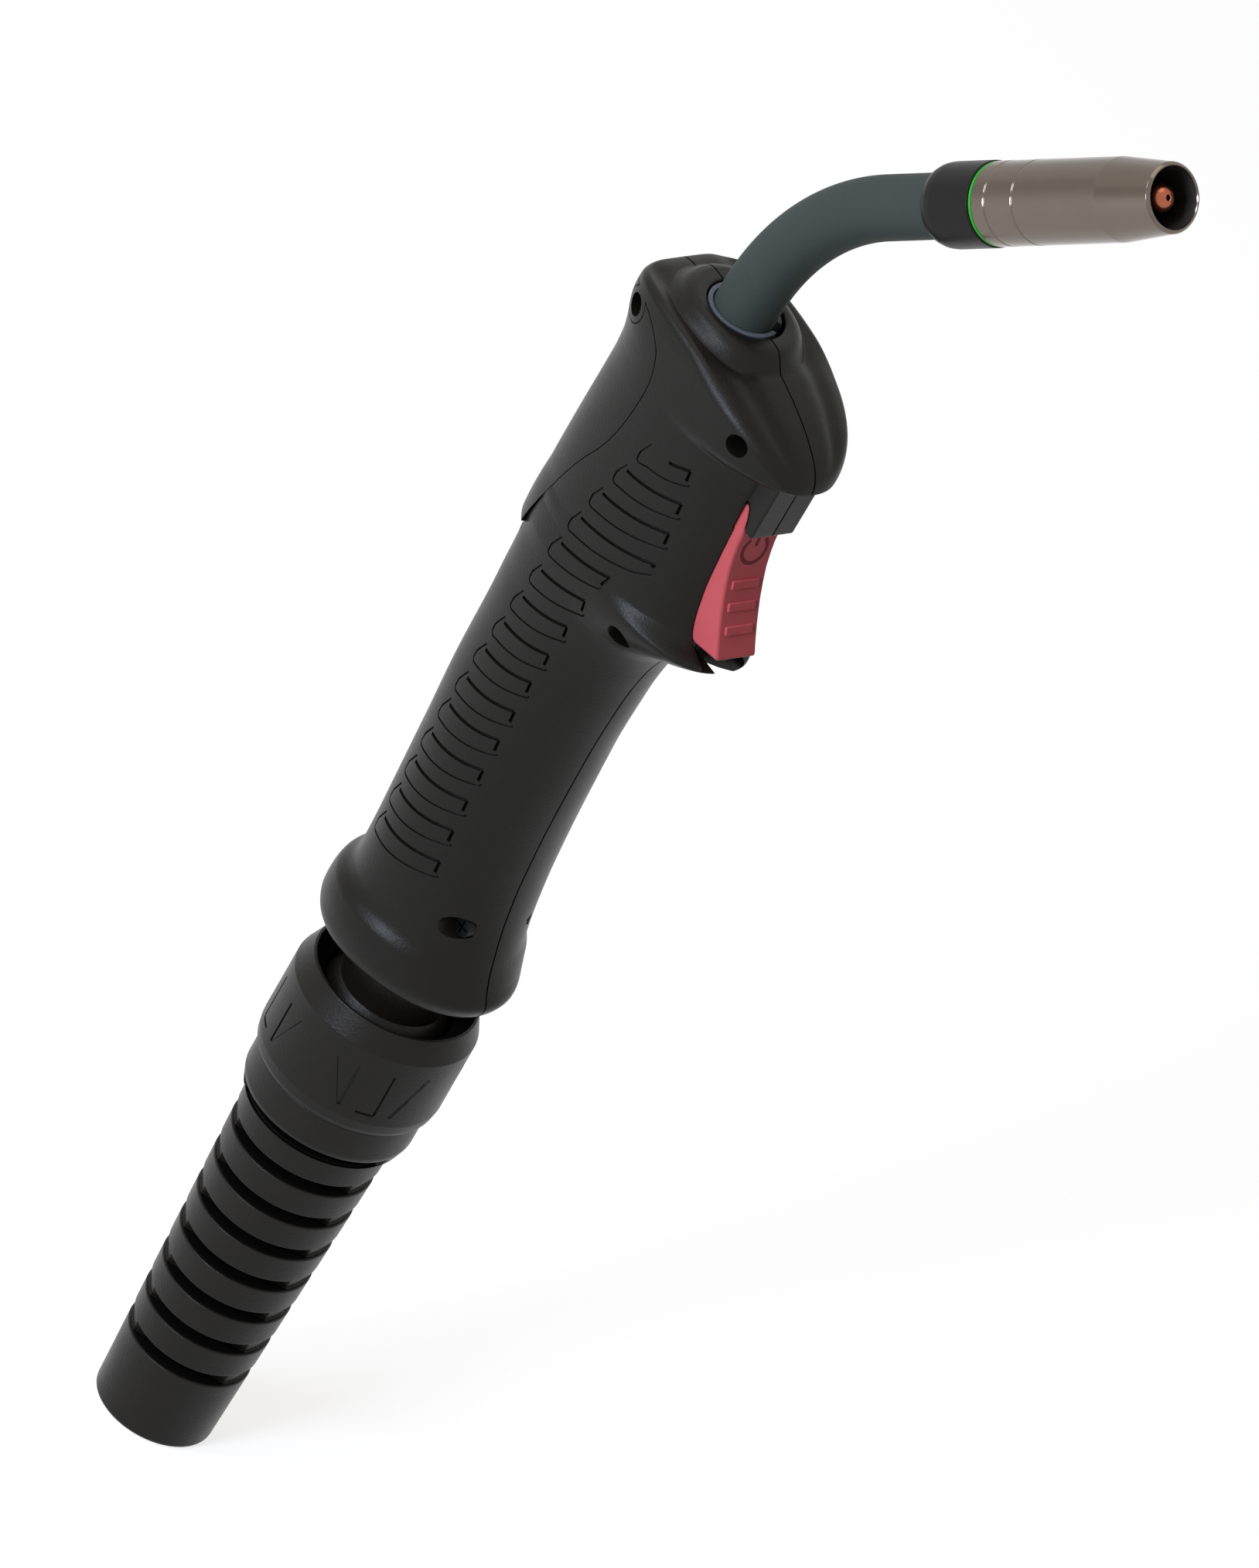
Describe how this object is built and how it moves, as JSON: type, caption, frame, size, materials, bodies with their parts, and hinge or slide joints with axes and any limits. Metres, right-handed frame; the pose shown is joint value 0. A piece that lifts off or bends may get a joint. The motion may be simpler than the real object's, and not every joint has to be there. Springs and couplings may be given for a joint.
{
  "type": "mig welding torch",
  "caption": "Swan neck MIG welding torch with a pistol handle, sprung trigger, nickel gas nozzle, ball-jointed collar and ribbed cable support.",
  "frame": {"origin": "middle of the grip, on the axis of the ball joint", "axes": "+Z along the grip towards the neck, +X towards the trigger and the nozzle, Y across the handle"},
  "size_m": [0.1327, 0.0546, 0.5263],
  "materials": {
    "black_plastic": "fine grained, satin",
    "jacket": "matt, very fine grain",
    "nickel": "polished nickel plate",
    "copper": "bright copper",
    "brass": "machined",
    "steel": "zinc plated",
    "grey_plastic": "smooth",
    "green_seal": "smooth",
    "red_plastic": "smooth, satin",
    "white_plastic": "matt"
  },
  "bodies": {
    "handle": {"handle_shell_left": "black_plastic", "handle_shell_right": "black_plastic", "back_cover": "black_plastic", "screw_nose": "steel", "screw_guard": "steel", "screw_bell": "steel", "screw_back": "steel", "trigger_pin": "steel", "trigger_spring": "steel", "microswitch": "grey_plastic", "switch_lead_left": "white_plastic", "switch_lead_right": "white_plastic", "neck_bush": "grey_plastic", "neck_receiver": "brass", "neck_jacket": "jacket", "neck_insulation": "white_plastic", "neck_conductor": "copper", "wire_liner": "steel", "nozzle_cup": "black_plastic", "seal_ring": "green_seal", "gas_diffuser": "white_plastic", "nozzle_spring": "steel", "tip_holder": "brass", "contact_tip": "copper"},
    "trigger": {"trigger": "red_plastic"},
    "plunger": {"switch_plunger": "red_plastic"},
    "nozzle": {"gas_nozzle": "nickel"},
    "ball": {"swivel_ball": "black_plastic"},
    "cable_end": {"ball_seat": "black_plastic", "collar_nut": "black_plastic", "cable_support": "black_plastic"}
  },
  "joints": [
    {"name": "trigger_press", "type": "hinge", "parent": "handle", "child": "trigger", "pos_m": [0.0226, 0, 0.1076], "axis": [0, 1, 0], "range_deg": [0, 6], "stiffness_Nm_per_rad": 0.6, "springref_deg": -11.46, "deforming": ["trigger_spring"]},
    {"name": "plunger_slide", "type": "slide", "parent": "handle", "child": "plunger", "axis": [1, 0, 0], "range_m": [-0.0019, 0]},
    {"name": "nozzle_pull", "type": "slide", "parent": "handle", "child": "nozzle", "axis": [0.7071, 0, 0.7071], "range_m": [0, 0.066]},
    {"name": "ball_spin", "type": "hinge", "parent": "handle", "child": "ball", "pos_m": [0, 0, -0.102], "axis": [0, 0, 1], "continuous": true},
    {"name": "ball_tilt", "type": "hinge", "parent": "ball", "child": "cable_end", "pos_m": [0, 0, -0.102], "axis": [0, 1, 0], "range_deg": [-15, 15]}
  ],
  "couplings": [
    {"joint": "plunger_slide", "follows": "trigger_press", "m_per_rad": -0.0164}
  ]
}
